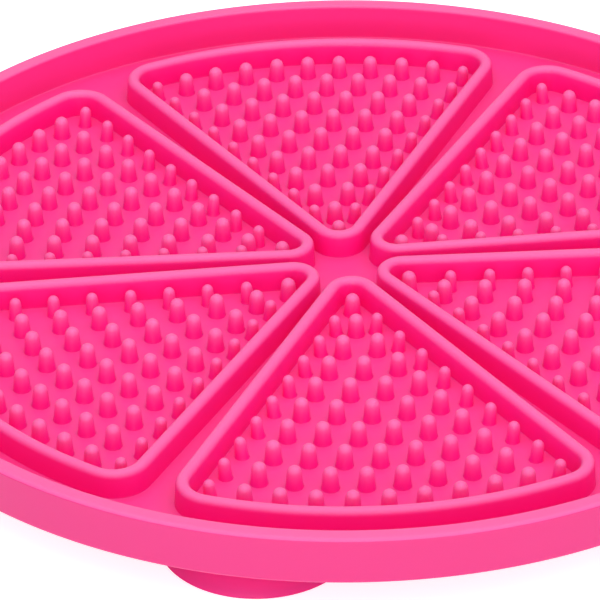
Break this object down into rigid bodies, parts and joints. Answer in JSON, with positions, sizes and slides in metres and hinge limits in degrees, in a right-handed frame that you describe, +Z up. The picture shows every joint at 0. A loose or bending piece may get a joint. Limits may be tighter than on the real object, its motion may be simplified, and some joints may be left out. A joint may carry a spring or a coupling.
{
  "type": "lick mat",
  "caption": "Round silicone lick mat: a low-rimmed tray whose walled wedge segments are full of soft nubs, held to a smooth surface by suction cups.",
  "frame": {"origin": "under the middle of the mat, in the plane that the lips of the suction cups rest on", "axes": "+Z up, out of the licking side; +X along one of the channels between two segments, so a segment points along +Y and along -Y"},
  "size_m": [0.2, 0.2, 0.0186],
  "materials": {
    "mat_silicone": "soft matt silicone, hot pink, faint sheen",
    "cup_silicone": "smooth silicone, hot pink, slightly glossier than the mat"
  },
  "bodies": {
    "mat": {"base_plate": "mat_silicone", "rim_wall": "mat_silicone", "segment_wall_1": "mat_silicone", "segment_wall_2": "mat_silicone", "segment_wall_3": "mat_silicone", "segment_wall_4": "mat_silicone", "segment_wall_5": "mat_silicone", "segment_wall_6": "mat_silicone", "nub_bed_1": "mat_silicone", "nub_bed_2": "mat_silicone", "nub_bed_3": "mat_silicone", "nub_bed_4": "mat_silicone", "nub_bed_5": "mat_silicone", "nub_bed_6": "mat_silicone", "cup_neck_1": "cup_silicone", "cup_neck_2": "cup_silicone", "cup_neck_3": "cup_silicone", "cup_neck_4": "cup_silicone", "cup_bell_1": "cup_silicone", "cup_bell_2": "cup_silicone", "cup_bell_3": "cup_silicone", "cup_bell_4": "cup_silicone"},
    "lip_1": {"cup_lip_1": "cup_silicone"},
    "lip_2": {"cup_lip_2": "cup_silicone"},
    "lip_3": {"cup_lip_3": "cup_silicone"},
    "lip_4": {"cup_lip_4": "cup_silicone"}
  },
  "joints": [
    {"name": "cup_press_1", "type": "slide", "parent": "mat", "child": "lip_1", "axis": [0, 0, 1], "range_m": [0, 0.004], "stiffness_N_per_m": 3000, "deforming": ["cup_bell_1"]},
    {"name": "cup_press_2", "type": "slide", "parent": "mat", "child": "lip_2", "axis": [0, 0, 1], "range_m": [0, 0.004], "stiffness_N_per_m": 3000, "deforming": ["cup_bell_2"]},
    {"name": "cup_press_3", "type": "slide", "parent": "mat", "child": "lip_3", "axis": [0, 0, 1], "range_m": [0, 0.004], "stiffness_N_per_m": 3000, "deforming": ["cup_bell_3"]},
    {"name": "cup_press_4", "type": "slide", "parent": "mat", "child": "lip_4", "axis": [0, 0, 1], "range_m": [0, 0.004], "stiffness_N_per_m": 3000, "deforming": ["cup_bell_4"]}
  ]
}
